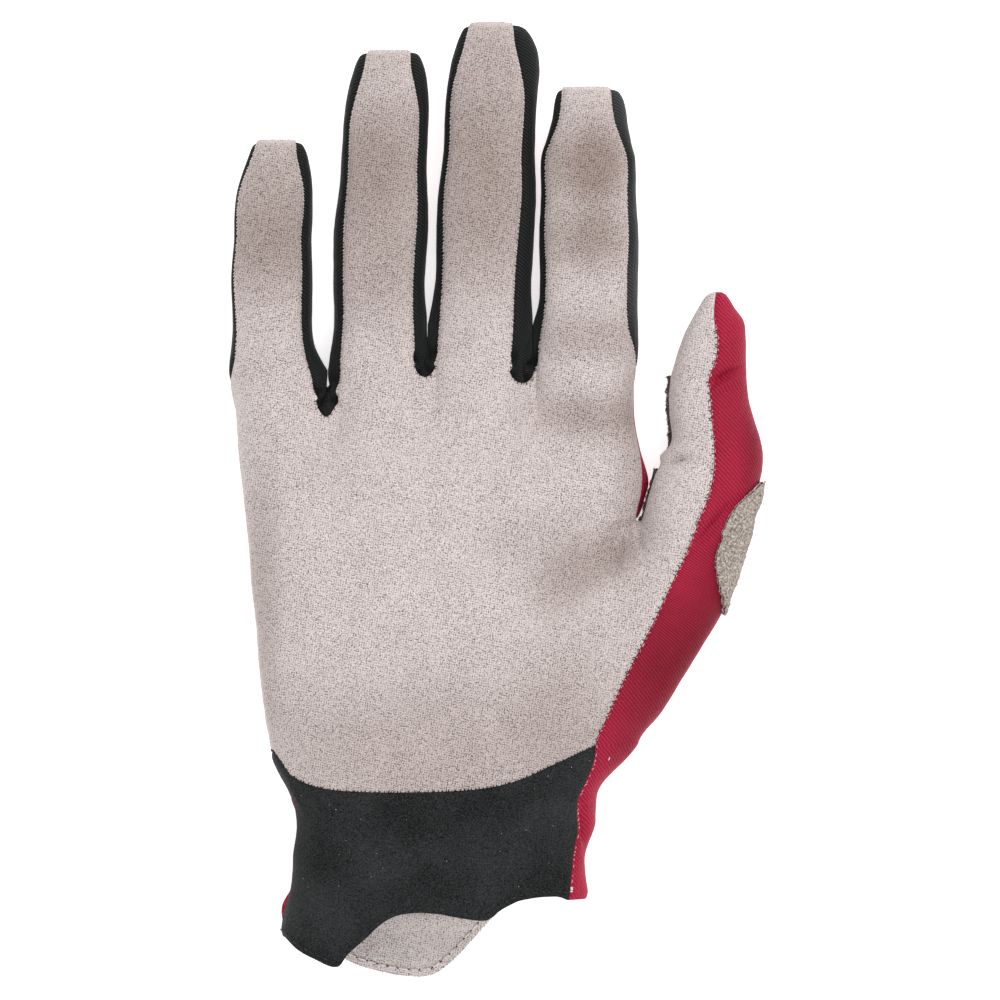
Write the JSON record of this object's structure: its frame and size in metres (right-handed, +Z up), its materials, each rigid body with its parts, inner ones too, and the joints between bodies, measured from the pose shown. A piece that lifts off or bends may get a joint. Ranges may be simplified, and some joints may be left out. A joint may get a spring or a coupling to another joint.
{
  "type": "motocross glove",
  "caption": "Right-hand riding glove lying palm up: suede palm and finger fronts, ribbed back, stretch cuff, finger gussets, wrist tab and rough thumb patches.",
  "frame": {"origin": "middle of the bounding box's underside, on the surface that the glove lies on", "axes": "+Y from the wrist to the fingertips, +X towards the thumb, +Z up out of the palm"},
  "size_m": [0.1336, 0.2392, 0.0278],
  "materials": {
    "suede": "matt brushed suede, pale grey with fine dark specks",
    "cuff_cloth": "matt black stretch cloth",
    "ribbed_twill": "soft sheen, slanting ribs",
    "stretch_rib": "fine ribbed black stretch knit",
    "grip_patch": "coarse matt speckle"
  },
  "bodies": {
    "root": {"palm_panel": "suede", "wrist_tab": "suede", "cuff_panel": "cuff_cloth", "back_panel": "ribbed_twill", "pinky_outer_gusset": "stretch_rib", "pinky_ring_fourchette": "stretch_rib", "ring_middle_fourchette": "stretch_rib", "middle_index_fourchette": "stretch_rib", "index_outer_gusset": "stretch_rib", "thumb_knuckle_patch": "grip_patch", "thumb_inner_patch": "grip_patch", "thumb_web_patch": "grip_patch"}
  },
  "joints": []
}
